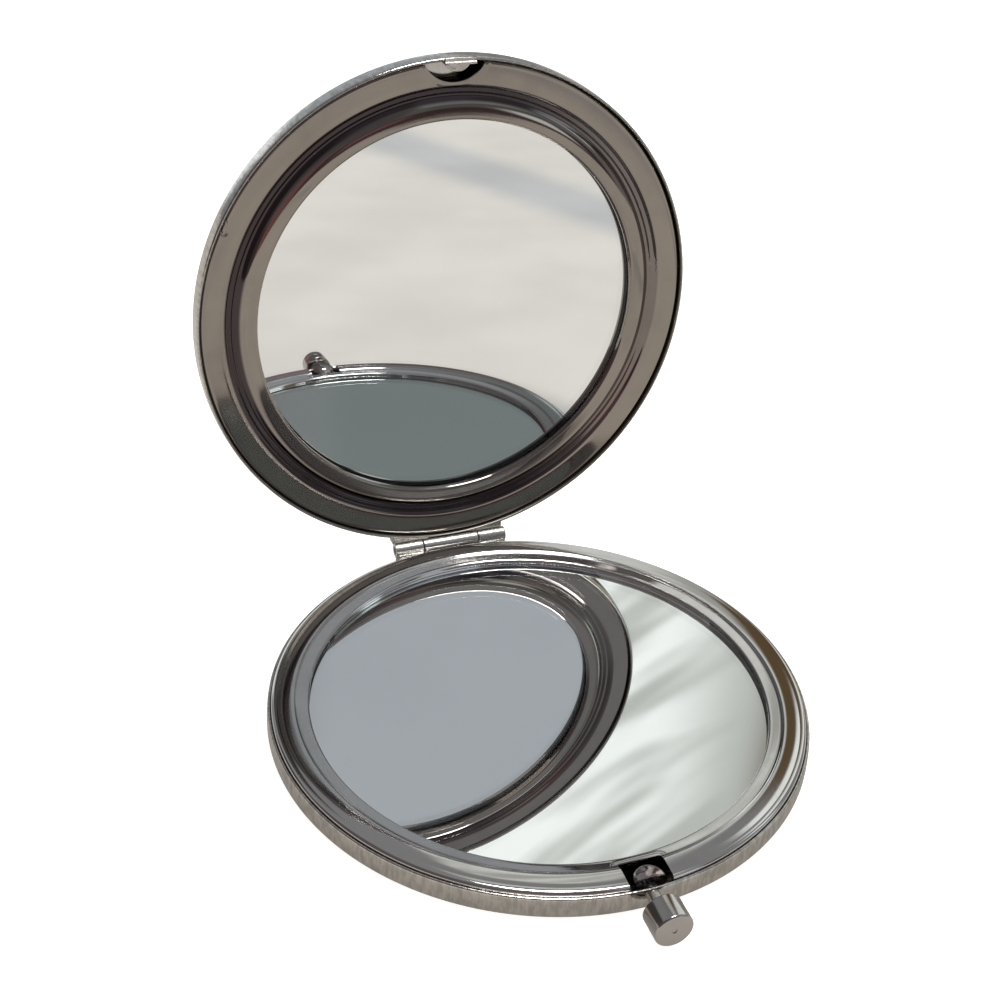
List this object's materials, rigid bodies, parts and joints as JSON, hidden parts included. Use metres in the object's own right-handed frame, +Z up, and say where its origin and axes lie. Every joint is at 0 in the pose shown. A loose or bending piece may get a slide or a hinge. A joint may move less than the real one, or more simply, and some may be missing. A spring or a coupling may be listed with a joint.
{
  "type": "compact mirror",
  "caption": "Round hinged compact case with a mirror in each half, a push-button latch at the front and a barrel hinge at the back.",
  "frame": {"origin": "middle of the round foot panel, on the surface the case stands on", "axes": "+Z up out of the base, -Y towards the push button, +Y towards the hinge, +X along the hinge pin to the right as seen from the button"},
  "size_m": [0.07, 0.0842, 0.0745],
  "materials": {
    "shell_steel": "polished nickel plate",
    "ring_steel": "bright pressed nickel plate",
    "mirror_glass": "silvered glass",
    "pad_felt": "soft felt",
    "hinge_steel": "nickel plate over solder",
    "pin_steel": "drawn",
    "latch_steel": "turned",
    "spring_steel": "drawn wire",
    "button_steel": "turned and plated",
    "head_steel": "dark nickel plate",
    "catch_steel": "rough nickel plate"
  },
  "bodies": {
    "base": {"base_shell": "shell_steel", "base_ring": "ring_steel", "base_mirror": "mirror_glass", "base_mirror_pad": "pad_felt", "base_hinge_leaf": "hinge_steel", "hinge_pin": "pin_steel", "latch_bush": "latch_steel", "latch_spring": "spring_steel"},
    "button": {"push_button": "button_steel", "latch_rod": "latch_steel", "latch_head": "head_steel"},
    "lid": {"lid_shell": "shell_steel", "lid_ring": "ring_steel", "lid_mirror": "mirror_glass", "lid_mirror_pad": "pad_felt", "lid_hinge_leaf": "hinge_steel", "lid_catch": "catch_steel"}
  },
  "joints": [
    {"name": "lid_hinge", "type": "hinge", "parent": "base", "child": "lid", "pos_m": [0, 0.0358, 0.004], "axis": [1, 0, 0], "range_deg": [-86.4, 93.6]},
    {"name": "button_press", "type": "slide", "parent": "base", "child": "button", "axis": [0, 1, 0], "range_m": [0, 0.0008], "stiffness_N_per_m": 300, "springref_m": -0.0015, "deforming": ["latch_spring"]}
  ]
}
